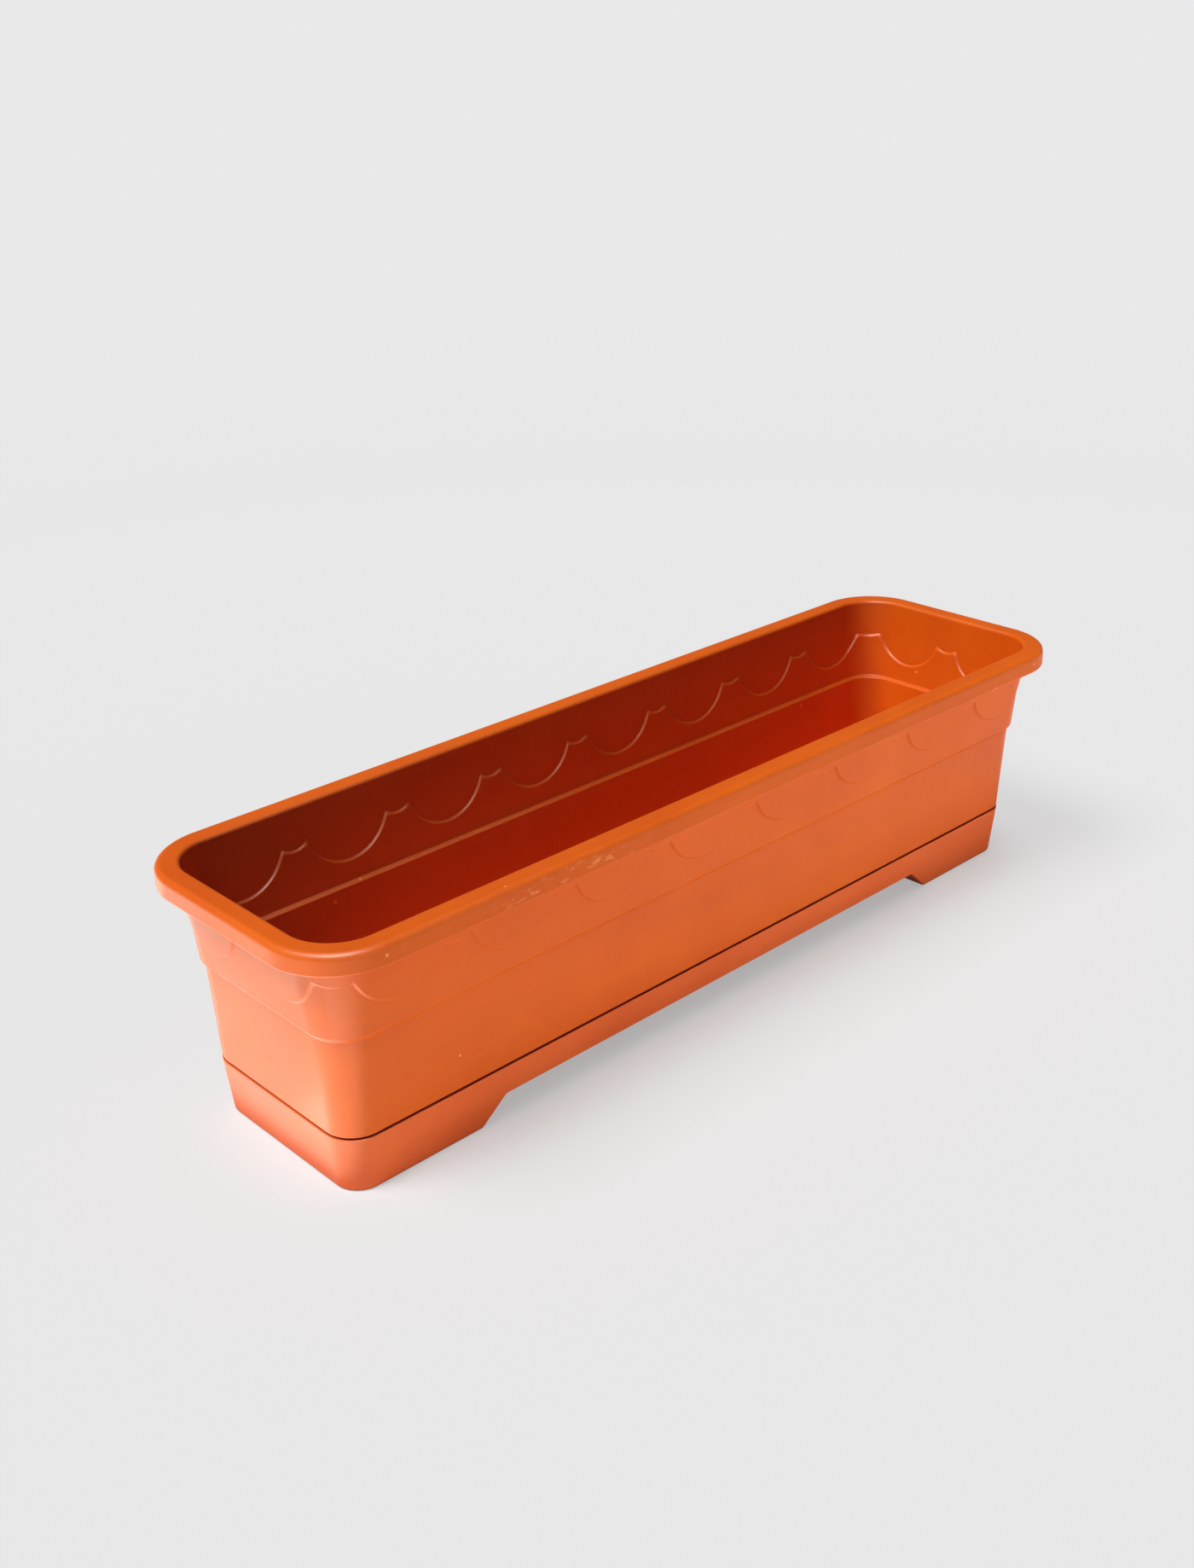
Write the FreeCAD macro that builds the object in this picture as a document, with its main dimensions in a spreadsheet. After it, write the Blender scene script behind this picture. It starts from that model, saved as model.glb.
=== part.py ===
import FreeCAD, Part
import math
import os
import Sketcher

# A moulded plastic window box: a trough with a rolled rim and a scalloped band,
# standing in a drip tray whose middle is raised between two end feet.
# +Z is up, X runs along the box, and the origin is at the middle of the base.

# Upright sections are given by their reach: the distance outwards from a plain
# rectangle whose corners are the centres of all the corner rounds.
dimensions = {
    "centre_x": 260.0,             # half sides of that rectangle
    "centre_y": 44.5,
    "path_round": 20.0,            # reach of the path that sections are swept along
    "total_height": 150.0,
    "wall": 2.2,
    # rolled rim
    "rim_reach": 40.0,
    "rim_top_reach": 39.6,
    "rim_base": 138.4,
    "rim_skin": 2.0,
    "rim_inner_reach": 26.7,
    "rim_outer_round": 3.6,
    "rim_inner_round": 2.4,
    # band under the rim, and the scallops that stand proud of it
    "band_base": 94.5,
    "band_reach": 23.1,
    "band_top": 134.0,
    "band_top_reach": 26.5,
    "scallop_rise": 1.0,
    "scallop_foot": 103.0,
    "scallop_foot_reach": 23.8,
    "scallop_top": 129.5,
    "under_rim_reach": 28.7,
    "crown_width": 16.0,
    "crown_point": 127.3,
    "crown_dip": 124.8,
    "bowl_base": 108.2,
    "corner_crown": 18.4,          # from a corner centre to the crown, along each side
    "corner_crown_width": 20.0,
    "cutting_margin": 10.0,        # how far the space above the scallops runs past the rim
    # ledge below the band, then the plain tapering wall
    "ledge_base": 91.2,
    "ledge_reach": 20.7,
    "inner_ledge_top": 96.2,
    "inner_ledge_base": 94.8,
    "wall_base": 34.2,
    "wall_base_reach": 17.9,
    "inner_step": 36.6,
    # stepped-in foot of the trough, which nests in the tray
    "nest_reach": 14.5,
    "nest_base": 19.5,
    "nest_base_reach": 13.4,
    "floor_skin": 2.4,
    "drain_radius": 4.0,
    "drain_pitch": 110.0,
    "drain_row": 24.0,
    # drip tray
    "tray_height": 33.0,
    "tray_reach": 18.2,
    "tray_base_reach": 14.9,
    "tray_wall": 2.0,
    "tray_skin": 2.2,
    "arch_height": 14.6,
    "arch_base_half": 191.5,
    "arch_top_half": 175.5,
    "pad_length": 44.0,
    "pad_width": 4.0,
    "pad_pitch": 130.0,
    "pad_row": 30.0,
}
long_bowls = 8                     # scallops along each long side
drain_columns = 4
pad_columns = 3

doc = FreeCAD.newDocument("WindowBox")
sheet = doc.addObject("Spreadsheet::Sheet", "Sizes")
for row, (alias, amount) in enumerate(dimensions.items(), start=1):
    sheet.set(f"A{row}", alias)
    sheet.set(f"B{row}", str(amount))
    sheet.setAlias(f"B{row}", alias)
doc.recompute()


def size(words):
    """Amount of a sum such as "band_reach - wall"."""
    parts = words.split()
    amount = dimensions[parts[0]]
    for sign, alias in zip(parts[1::2], parts[2::2]):
        amount += dimensions[alias] if sign == "+" else -dimensions[alias]
    return amount


def formula(words):
    """The same sum, written for setExpression."""
    return " ".join(part if part in "+-" else f"Sizes.{part}" for part in words.split())


def bind(sketch, constraint, words):
    index = sketch.addConstraint(constraint)
    sketch.setExpression(f"Constraints[{index}]", formula(words))


def fix_point(sketch, geometry, across, up):
    """Hold a point at two sums of sheet names; up is None for a point on the base line."""
    bind(sketch, Sketcher.Constraint("DistanceX", -1, 1, geometry, 1, size(across)), across)
    if up is None:
        sketch.addConstraint(Sketcher.Constraint("PointOnObject", geometry, 1, -1))
    else:
        bind(sketch, Sketcher.Constraint("DistanceY", -1, 1, geometry, 1, size(up)), up)


def place(piece, **expressions):
    """Bind the position of a piece: place(piece, x="...", z="...")."""
    for axis, expression in expressions.items():
        piece.setExpression(f"Placement.Base.{axis}", expression)


def upright_sketch(name):
    """Sketch in the XZ plane through the origin."""
    sketch = doc.addObject("Sketcher::SketchObject", name)
    turn = FreeCAD.Rotation(FreeCAD.Vector(1, 0, 0), 90)
    sketch.Placement = FreeCAD.Placement(FreeCAD.Vector(0, 0, 0), turn)
    return sketch


def outline(sketch, corners):
    """Closed outline through corners of (across, up, round), each a sum of sheet names.

    A rounded corner keeps a construction point where its two sides would meet, and a
    corner with no height lies on the base line.
    """
    points = []
    for across, up, _ in corners:
        points.append(FreeCAD.Vector(size(across), size(up) if up else 0, 0))
    rounds = [size(radius) if radius else 0.0 for _, _, radius in corners]
    starts, ends, arcs = [], [], []
    for index, corner in enumerate(points):
        before = (points[index - 1] - corner).normalize()
        after = (points[(index + 1) % len(points)] - corner).normalize()
        half = before.getAngle(after) / 2
        trim = rounds[index] / math.tan(half)
        starts.append(corner + after * trim)
        ends.append(corner + before * trim)
        middle = (before + after).normalize()
        bulge = rounds[index] / math.sin(half) - rounds[index]
        arcs.append((corner + before * trim, corner + middle * bulge, corner + after * trim))
    lines = []
    for index in range(len(points)):
        following = (index + 1) % len(points)
        lines.append(sketch.addGeometry(Part.LineSegment(starts[index], ends[following])))
    for index, (across, up, radius) in enumerate(corners):
        side_in, side_out = lines[index - 1], lines[index]
        if radius is None:
            sketch.addConstraint(Sketcher.Constraint("Coincident", side_in, 2, side_out, 1))
            fix_point(sketch, side_out, across, up)
        else:
            arc = sketch.addGeometry(Part.Arc(*arcs[index]))
            first = sketch.getPoint(arc, 1)
            flipped = first.distanceToPoint(ends[index]) > first.distanceToPoint(starts[index])
            near, far = (2, 1) if flipped else (1, 2)
            sketch.addConstraint(Sketcher.Constraint("Tangent", side_in, 2, arc, near))
            sketch.addConstraint(Sketcher.Constraint("Tangent", side_out, 1, arc, far))
            bind(sketch, Sketcher.Constraint("Radius", arc, size(radius)), radius)
            meeting = sketch.addGeometry(Part.Point(points[index]), True)
            sketch.addConstraint(Sketcher.Constraint("PointOnObject", meeting, 1, side_in))
            sketch.addConstraint(Sketcher.Constraint("PointOnObject", meeting, 1, side_out))
            fix_point(sketch, meeting, across, up)
    return sketch


def rounded_rectangle(name, reach, height=None):
    """Level outline at a reach from the centre rectangle, with concentric corners."""
    sketch = doc.addObject("Sketcher::SketchObject", name)
    half_x, half_y, radius = size(f"centre_x + {reach}"), size(f"centre_y + {reach}"), size(reach)
    centre_x, centre_y = size("centre_x"), size("centre_y")
    sides = [
        ((half_x, 0), (half_x, centre_y)),
        ((centre_x, half_y), (-centre_x, half_y)),
        ((-half_x, centre_y), (-half_x, -centre_y)),
        ((-centre_x, -half_y), (centre_x, -half_y)),
        ((half_x, -centre_y), (half_x, 0)),
    ]
    lines = []
    for start, end in sides:
        line = Part.LineSegment(FreeCAD.Vector(*start, 0), FreeCAD.Vector(*end, 0))
        lines.append(sketch.addGeometry(line))
    quarter = math.pi / 2
    for turn, (sign_x, sign_y) in enumerate([(1, 1), (-1, 1), (-1, -1), (1, -1)]):
        centre = FreeCAD.Vector(sign_x * centre_x, sign_y * centre_y, 0)
        circle = Part.Circle(centre, FreeCAD.Vector(0, 0, 1), radius)
        arc = sketch.addGeometry(Part.ArcOfCircle(circle, turn * quarter, (turn + 1) * quarter))
        sketch.addConstraint(Sketcher.Constraint("Tangent", lines[turn], 2, arc, 1))
        sketch.addConstraint(Sketcher.Constraint("Tangent", arc, 2, lines[turn + 1], 1))
        start, end = (-1, arc) if sign_x > 0 else (arc, -1)
        point_from, point_to = (1, 3) if sign_x > 0 else (3, 1)
        across = Sketcher.Constraint("DistanceX", start, point_from, end, point_to, centre_x)
        bind(sketch, across, "centre_x")
        start, end = (-1, arc) if sign_y > 0 else (arc, -1)
        point_from, point_to = (1, 3) if sign_y > 0 else (3, 1)
        along = Sketcher.Constraint("DistanceY", start, point_from, end, point_to, centre_y)
        bind(sketch, along, "centre_y")
    bind(sketch, Sketcher.Constraint("Radius", arc, radius), reach)
    sketch.addConstraint(Sketcher.Constraint("Coincident", lines[4], 2, lines[0], 1))
    sketch.addConstraint(Sketcher.Constraint("PointOnObject", lines[0], 1, -1))
    if height is not None:
        place(sketch, z=formula(height))
    return sketch


def swept(name, corners):
    """Solid whose upright section runs all round the box."""
    section = outline(upright_sketch(f"{name}_section"), corners)
    place(section, x="Sizes.centre_x")
    sweep = doc.addObject("Part::Sweep", name)
    sweep.Sections = [section]
    sweep.Spine = (path, [f"Edge{index + 1}" for index in range(9)])
    sweep.Solid = True
    sweep.Frenet = False
    return sweep


def lofted(name, levels):
    """Tapered solid through level outlines of (reach, height)."""
    loft = doc.addObject("Part::Loft", name)
    loft.Sections = [
        rounded_rectangle(f"{name}_level_{index}", reach, height)
        for index, (reach, height) in enumerate(levels)
    ]
    loft.Solid = True
    loft.Ruled = True
    return loft


def joined(name, pieces):
    union = doc.addObject("Part::MultiFuse", name)
    union.Shapes = pieces
    union.Refine = True
    return union


def cut(name, base, tool):
    difference = doc.addObject("Part::Cut", name)
    difference.Base = base
    difference.Tool = tool
    return difference


def disc(name, across, axis, half_width, depth, height):
    """Round space whose lowest arc spans two points a depth above its bottom.

    axis is "x" or "y": the direction it runs in, right through the box. across is its
    place along the other axis, or None at the middle.
    """
    cylinder = doc.addObject("Part::Cylinder", name)
    radius = f"(({half_width})^2 + ({depth})^2) / (2 * ({depth}))"
    cylinder.setExpression("Radius", radius)
    run = "centre_x" if axis == "x" else "centre_y"
    cylinder.setExpression("Height", f"2 * (Sizes.{run} + Sizes.rim_reach)")
    if axis == "y":
        turn = FreeCAD.Rotation(FreeCAD.Vector(1, 0, 0), -90)
        other = "x"
    else:
        turn = FreeCAD.Rotation(FreeCAD.Vector(0, 1, 0), 90)
        other = "y"
    cylinder.Placement = FreeCAD.Placement(FreeCAD.Vector(0, 0, 0), turn)
    placed = {axis: f"-(Sizes.{run} + Sizes.rim_reach)", "z": f"{height} + {radius}"}
    if across:
        placed[other] = across
    place(cylinder, **placed)
    return cylinder


def corner_disc(name, sign_x, sign_y):
    """The same for the crown on a corner of the box, running out along the diagonal."""
    cylinder = doc.addObject("Part::Cylinder", name)
    depth = "(Sizes.crown_point - Sizes.crown_dip)"
    radius = f"((Sizes.corner_crown_width / 2)^2 + {depth}^2) / (2 * {depth})"
    cylinder.setExpression("Radius", radius)
    cylinder.setExpression("Height", "Sizes.rim_reach")
    outwards = FreeCAD.Vector(sign_x, sign_y, 0)
    turn = FreeCAD.Rotation(FreeCAD.Vector(0, 0, 1), outwards)
    cylinder.Placement = FreeCAD.Placement(FreeCAD.Vector(0, 0, 0), turn)
    place(
        cylinder,
        x=f"{sign_x} * Sizes.centre_x",
        y=f"{sign_y} * Sizes.centre_y",
        z=f"Sizes.crown_dip + {radius}",
    )
    return cylinder


def scallop_region():
    """Everything above the scallop line, inside and outside the wall."""
    bowl_depth = "Sizes.crown_point - Sizes.bowl_base"
    crown_depth = "Sizes.crown_point - Sizes.crown_dip"
    half_crown = "Sizes.crown_width / 2"
    long_pitch = f"(2 * (Sizes.centre_x + Sizes.corner_crown) / {long_bowls})"
    end_pitch = "(Sizes.centre_y + Sizes.corner_crown)"
    discs = []
    for index in range(long_bowls):
        step = index - (long_bowls - 1) / 2
        half_bowl = f"({long_pitch} - Sizes.crown_width) / 2"
        discs.append(disc(f"long_bowl_{index}", f"{step} * {long_pitch}", "y",
                          half_bowl, bowl_depth, "Sizes.bowl_base"))
    for index in range(long_bowls - 1):
        step = index - (long_bowls - 2) / 2
        discs.append(disc(f"long_crown_{index}", f"{step} * {long_pitch}", "y",
                          half_crown, crown_depth, "Sizes.crown_dip"))
    for index, step in enumerate((-0.5, 0.5)):
        half_bowl = f"({end_pitch} - Sizes.crown_width) / 2"
        discs.append(disc(f"end_bowl_{index}", f"{step} * {end_pitch}", "x",
                          half_bowl, bowl_depth, "Sizes.bowl_base"))
    discs.append(disc("end_crown", None, "x", half_crown, crown_depth, "Sizes.crown_dip"))
    for sign_x in (-1, 1):
        for sign_y in (-1, 1):
            side = "right" if sign_x > 0 else "left"
            face = "back" if sign_y > 0 else "front"
            discs.append(corner_disc(f"{side}_{face}_crown", sign_x, sign_y))
    above = doc.addObject("Part::Box", "above_the_scallops")
    outer_x = "(Sizes.centre_x + Sizes.rim_reach + Sizes.cutting_margin)"
    outer_y = "(Sizes.centre_y + Sizes.rim_reach + Sizes.cutting_margin)"
    above.setExpression("Length", f"2 * {outer_x}")
    above.setExpression("Width", f"2 * {outer_y}")
    above.setExpression("Height", "Sizes.total_height + Sizes.cutting_margin - Sizes.scallop_top")
    place(above, x=f"-{outer_x}", y=f"-{outer_y}", z="Sizes.scallop_top")
    return joined("scallop_region", discs + [above])


def plain_wall():
    """Wall from the nested foot up to the band, as it lies below the scallop line."""
    return swept("plain_wall", [
        ("nest_base_reach", "nest_base", None),
        ("nest_reach", "wall_base", None),
        ("wall_base_reach", "wall_base", None),
        ("ledge_reach", "ledge_base", None),
        ("band_reach", "band_base", None),
        ("band_top_reach", "band_top", None),
        ("band_top_reach - wall", "band_top", None),
        ("band_reach - wall", "inner_ledge_top", None),
        ("ledge_reach - wall", "inner_ledge_base", None),
        ("wall_base_reach - wall", "inner_step", None),
        ("nest_reach - wall", "inner_step", None),
        ("nest_base_reach - wall", "nest_base", None),
    ])


def raised_wall():
    """Wall above the scallop line, proud of the band, with the rolled rim."""
    return swept("raised_wall", [
        ("scallop_foot_reach + scallop_rise", "scallop_foot", None),
        ("under_rim_reach", "total_height - wall", None),
        ("rim_top_reach - rim_skin", "total_height - wall", None),
        ("rim_reach - rim_skin", "rim_base", None),
        ("rim_reach", "rim_base", None),
        ("rim_top_reach", "total_height", "rim_outer_round"),
        ("rim_inner_reach", "total_height", "rim_inner_round"),
        ("scallop_foot_reach + scallop_rise - wall", "scallop_foot", None),
    ])


def trough_floor():
    floor = doc.addObject("Part::Extrusion", "trough_floor")
    floor.Base = rounded_rectangle("floor_outline", "nest_base_reach", "nest_base")
    floor.Dir = FreeCAD.Vector(0, 0, 1)
    floor.Solid = True
    floor.setExpression("LengthFwd", "Sizes.floor_skin")
    return floor


def drain_holes():
    holes = []
    for column in range(drain_columns):
        for side in (-1, 1):
            hole = doc.addObject("Part::Cylinder", f"drain_hole_{column}_{(side + 1) // 2}")
            hole.setExpression("Radius", "Sizes.drain_radius")
            hole.setExpression("Height", "3 * Sizes.floor_skin")
            step = column - (drain_columns - 1) / 2
            place(
                hole,
                x=f"{step} * Sizes.drain_pitch",
                y=f"{side} * Sizes.drain_row",
                z="Sizes.nest_base - Sizes.floor_skin",
            )
            holes.append(hole)
    return joined("drain_holes", holes)


def planter_trough():
    region = scallop_region()
    below = cut("wall_below_scallops", plain_wall(), region)
    above = doc.addObject("Part::MultiCommon", "wall_above_scallops")
    above.Shapes = [raised_wall(), region]
    shell = joined("trough_shell", [below, above, trough_floor()])
    return cut("planter_trough", shell, drain_holes())


def prism(name, corners):
    """Solid with an upright outline, running across the whole width of the tray."""
    bar = doc.addObject("Part::Extrusion", name)
    bar.Base = outline(upright_sketch(f"{name}_outline"), corners)
    place(bar.Base, x="-Sizes.centre_x")
    bar.Dir = FreeCAD.Vector(0, -1, 0)
    bar.Solid = True
    bar.Symmetric = True
    bar.setExpression("LengthFwd", "2 * (Sizes.centre_y + Sizes.rim_reach)")
    return bar


def tray_pads(height):
    """Low bars on the raised floor that hold the trough clear of the water."""
    pads = []
    for column in range(pad_columns):
        for side in (-1, 1):
            pad = doc.addObject("Part::Box", f"tray_pad_{column}_{(side + 1) // 2}")
            pad.setExpression("Length", "Sizes.pad_length")
            pad.setExpression("Width", "Sizes.pad_width")
            pad.setExpression("Height", f"Sizes.nest_base - ({height})")
            step = column - (pad_columns - 1) / 2
            place(
                pad,
                x=f"{step} * Sizes.pad_pitch - Sizes.pad_length / 2",
                y=f"{side} * Sizes.pad_row - Sizes.pad_width / 2",
                z=height,
            )
            pads.append(pad)
    return pads


def drip_tray():
    outside = lofted("tray_outside", [("tray_base_reach", None), ("tray_reach", "tray_height")])
    room = lofted("tray_room", [
        ("tray_base_reach - tray_wall", "tray_skin"),
        ("tray_reach - tray_wall", "tray_height"),
    ])
    arch = prism("tray_arch", [
        ("centre_x - arch_base_half", None, None),
        ("centre_x - arch_top_half", "arch_height", None),
        ("centre_x + arch_top_half", "arch_height", None),
        ("centre_x + arch_base_half", None, None),
    ])
    ridge = prism("tray_ridge", [
        ("centre_x - arch_base_half - tray_skin", None, None),
        ("centre_x - arch_top_half - tray_skin", "arch_height + tray_skin", None),
        ("centre_x + arch_top_half + tray_skin", "arch_height + tray_skin", None),
        ("centre_x + arch_base_half + tray_skin", None, None),
    ])
    casing = cut("tray_casing", outside, arch)
    hollow = cut("tray_hollow", room, ridge)
    shell = cut("tray_shell", casing, hollow)
    floor_top = "Sizes.arch_height + Sizes.tray_skin"
    return joined("drip_tray", [shell] + tray_pads(floor_top))


path = rounded_rectangle("sweep_path", "path_round")
nodes = [planter_trough(), drip_tray()]
doc.recompute()

for item in doc.Objects:
    if "Invalid" in item.State or "Error" in item.State:
        raise RuntimeError(f"{item.Label} failed: {item.State}")
os.makedirs("parts", exist_ok=True)
for node in nodes:
    shape = node.Shape
    if shape.isNull() or not shape.isValid() or len(shape.Solids) != 1:
        raise RuntimeError(f"{node.Label} is not one sound solid")
    shape.exportStep(f"parts/{node.Label}.step")
    box = shape.optimalBoundingBox()
    print(node.Label, f"{box.XLength:.1f} x {box.YLength:.1f} x {box.ZLength:.1f} mm,",
          f"{shape.Volume / 1000:.1f} cm3, {len(shape.Faces)} faces")
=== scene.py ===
import math

import bmesh
import bpy
import numpy as np
from mathutils import Euler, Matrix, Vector


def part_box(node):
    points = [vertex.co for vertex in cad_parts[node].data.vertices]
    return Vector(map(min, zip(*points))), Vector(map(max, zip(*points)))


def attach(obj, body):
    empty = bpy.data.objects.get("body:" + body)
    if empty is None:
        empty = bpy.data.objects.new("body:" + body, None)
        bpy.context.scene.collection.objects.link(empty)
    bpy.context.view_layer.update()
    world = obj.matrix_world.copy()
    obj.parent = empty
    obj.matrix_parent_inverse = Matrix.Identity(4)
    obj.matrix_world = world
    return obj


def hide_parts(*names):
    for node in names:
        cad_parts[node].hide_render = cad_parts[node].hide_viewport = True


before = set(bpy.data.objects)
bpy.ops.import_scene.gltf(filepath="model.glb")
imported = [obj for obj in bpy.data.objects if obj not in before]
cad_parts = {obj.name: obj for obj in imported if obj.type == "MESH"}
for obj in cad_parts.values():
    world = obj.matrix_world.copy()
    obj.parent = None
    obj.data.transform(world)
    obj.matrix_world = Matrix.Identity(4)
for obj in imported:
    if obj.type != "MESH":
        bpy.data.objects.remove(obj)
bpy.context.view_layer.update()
scene = bpy.context.scene
mm = 0.001
print("frame loaded:", sorted(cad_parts))

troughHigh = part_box("planter_trough")[1] / mm
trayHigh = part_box("drip_tray")[1] / mm

# lengths are in millimetres; a reach is measured outwards from the core rectangle,
# whose four corners are the centres of every corner round
rimReach = 40.0
core = {"x": troughHigh.x - rimReach, "y": troughHigh.y - rimReach}

trough = {
    "top": troughHigh.z,
    "wall": 2.2,
    "rimTopReach": 39.6,
    "rimBase": 138.4,
    "rimSkin": 2.0,
    "rimInnerReach": 26.7,
    "rimOuterRound": 3.6,
    "rimInnerRound": 2.4,
    "rimLipRound": 0.9,
    "rimLipInnerRound": 0.5,
    "underRimReach": 28.7,
    "underRimRound": 1.8,
    "bandBase": 94.5,
    "bandReach": 23.1,
    "bandTop": 134.0,
    "bandTopReach": 26.5,
    "ledgeBase": 91.2,
    "ledgeReach": 20.7,
    "ledgeRound": 0.7,
    "innerLedgeTop": 96.2,
    "innerLedgeBase": 94.8,
    "wallBase": 34.2,
    "wallBaseReach": 17.9,
    "wallBaseRound": 0.6,
    "innerStep": 36.6,
    "nestReach": 14.5,
    "nestBase": 19.5,
    "nestBaseReach": 13.4,
    "nestBaseRound": 1.2,
    "floorSkin": 2.4,
    "floorRound": 2.0,
    "floorRing": 6.0,  # reach where the swept wall ends and the flat floor begins
    "drainRadius": 4.0,
    "drainPitch": 110.0,
    "drainRow": 24.0,
    "drainColumns": 4,
    "drainSides": 40,
}

scallops = {
    "longBowls": 8,
    "endBowls": 2,
    "cornerCrown": 18.4,  # from a corner centre to its crown, along each side
    "crownWidth": 16.0,
    "cornerCrownWidth": 20.0,
    "bowlBase": 108.2,
    "crownDip": 124.8,
    "crownPoint": 127.3,
    "top": 129.5,
    "rise": 1.1,
    "bevel": 1.6,
    "bevelRows": (1.35, 1.0, 0.7, 0.4, 0.0, -0.4, -0.7, -1.0, -1.35),  # in half bevels, lowest first
    "followBelow": (0.001, 0.3, 0.6, 0.85),  # how far the rows under and over the line bend towards it
    "followAbove": (0.7, 0.35, 0.001),
    "lowRow": 96.0,  # heights of the level rows that the scallop rows are blended from
    "innerLowRow": 97.6,
    "highRow": 134.0,
    "plainRow": 136.0,  # first row above them that they don't move
    "bowlSteps": 18,
    "crownSteps": 6,
    "cuspSteps": 6,
    "cornerCrownSteps": 10,
    "cuspAngle": 23.6,  # from each end of a corner to the nearer point of its crown
}
scallops["longPitch"] = 2 * (core["x"] + scallops["cornerCrown"]) / scallops["longBowls"]
scallops["endPitch"] = 2 * (core["y"] + scallops["cornerCrown"]) / scallops["endBowls"]


def roundedLine(corners, steps=5, support=0.35):  # corners of (across, up, round), as a row of points
    points = []
    for index, (across, up, radius) in enumerate(corners):
        corner = np.array([across, up], float)
        if index in (0, len(corners) - 1) or not radius:
            points.append(corner)
            continue
        before = np.array(corners[index - 1][:2], float) - corner
        after = np.array(corners[index + 1][:2], float) - corner
        room = (np.linalg.norm(before), np.linalg.norm(after))
        before, after = before / room[0], after / room[1]
        half = math.acos(before @ after) / 2
        trim = radius / math.tan(half)
        bisector = (before + after) / np.linalg.norm(before + after)
        middle = corner + bisector * radius / math.sin(half)
        arm = corner + before * trim - middle
        side = np.sign(before[0] * after[1] - before[1] * after[0])
        if trim + support < room[0] / 2:
            points.append(corner + before * (trim + support))
        for step in range(steps + 1):
            angle = side * (2 * half - math.pi) * step / steps
            turned = (arm[0] * math.cos(angle) - arm[1] * math.sin(angle),
                      arm[0] * math.sin(angle) + arm[1] * math.cos(angle))
            points.append(middle + turned)
        if trim + support < room[1] / 2:
            points.append(corner + after * (trim + support))
    return points


def bandReachAt(height):
    slope = (trough["bandTopReach"] - trough["bandReach"]) / (trough["bandTop"] - trough["bandBase"])
    return trough["bandReach"] + (height - trough["bandBase"]) * slope


def plainRows(corners, steps=5):  # rows of (reach, height, follow, level, offset) that no scallop moves
    return [(reach, height, 0.0, 0.0, 0.0) for reach, height in roundedLine(corners, steps)]


def scallopRows(inset, low):  # rows that follow the scallop line, from below it to above it
    high, half = scallops["highRow"], scallops["bevel"] / 2
    reach = bandReachAt(scallops["crownDip"]) - inset
    levels = [half * share for share in scallops["bevelRows"]]
    rows = [(reach, low, share, levels[0], -inset) for share in scallops["followBelow"]]
    for level in levels:
        share = min(1.0, max(0.0, (half - level) / (2 * half)))
        smooth = share * share * (3 - 2 * share)
        rows.append((reach, low, 1.0, level, smooth * scallops["rise"] - inset))
    raised = scallops["rise"] - inset
    return rows + [(reach, high, share, levels[-1], raised) for share in scallops["followAbove"]]


def troughSection():
    t, rise, above = trough, scallops["rise"], scallops["plainRow"]
    middle = (t["wallBaseReach"] + t["ledgeReach"]) / 2
    outside = plainRows([
        (t["floorRing"], t["nestBase"], 0),
        (t["nestBaseReach"], t["nestBase"], t["nestBaseRound"]),
        (t["nestReach"], t["wallBase"], t["wallBaseRound"]),
        (t["wallBaseReach"], t["wallBase"], t["wallBaseRound"]),
        (middle, (t["wallBase"] + t["ledgeBase"]) / 2, 0),
        (t["ledgeReach"], t["ledgeBase"], t["ledgeRound"]),
        (t["bandReach"], t["bandBase"], t["ledgeRound"]),
        (bandReachAt(scallops["lowRow"]), scallops["lowRow"], 0),
    ])[:-1]
    overRim = plainRows([
        (bandReachAt(above) + rise, above, 0),
        (t["underRimReach"], t["top"] - t["wall"], t["underRimRound"]),
        (t["rimTopReach"] - t["rimSkin"], t["top"] - t["wall"], t["rimOuterRound"] - t["rimSkin"]),
        (rimReach - t["rimSkin"], t["rimBase"], t["rimLipInnerRound"]),
        (rimReach, t["rimBase"], t["rimLipRound"]),
        (t["rimTopReach"], t["top"], t["rimOuterRound"]),
        (t["rimInnerReach"], t["top"], t["rimInnerRound"]),
        (bandReachAt(above) + rise - t["wall"], above, 0),
    ], steps=6)
    inside = plainRows([
        (bandReachAt(scallops["innerLowRow"]) - t["wall"], scallops["innerLowRow"], 0),
        (t["bandReach"] - t["wall"], t["innerLedgeTop"], t["ledgeRound"]),
        (t["ledgeReach"] - t["wall"], t["innerLedgeBase"], t["ledgeRound"]),
        (middle - t["wall"], (t["innerStep"] + t["innerLedgeBase"]) / 2, 0),
        (t["wallBaseReach"] - t["wall"], t["innerStep"], t["wallBaseRound"]),
        (t["nestReach"] - t["wall"], t["innerStep"], t["wallBaseRound"]),
        (t["nestBaseReach"] - t["wall"], t["nestBase"] + t["floorSkin"], t["floorRound"]),
        (t["floorRing"], t["nestBase"] + t["floorSkin"], 0),
    ])[1:]
    raisedOutside = scallopRows(0.0, scallops["lowRow"])
    raisedInside = scallopRows(t["wall"], scallops["innerLowRow"])
    return outside + raisedOutside + overRim + raisedInside[::-1] + inside


def discColumns(centre, halfWidth, depth, steps):  # places along a wall, at even turns round an arc
    radius = (halfWidth ** 2 + depth ** 2) / (2 * depth)
    turn = math.asin(halfWidth / radius)
    return [centre + radius * math.sin(turn * (2 * step / steps - 1)) for step in range(steps + 1)]


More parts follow.
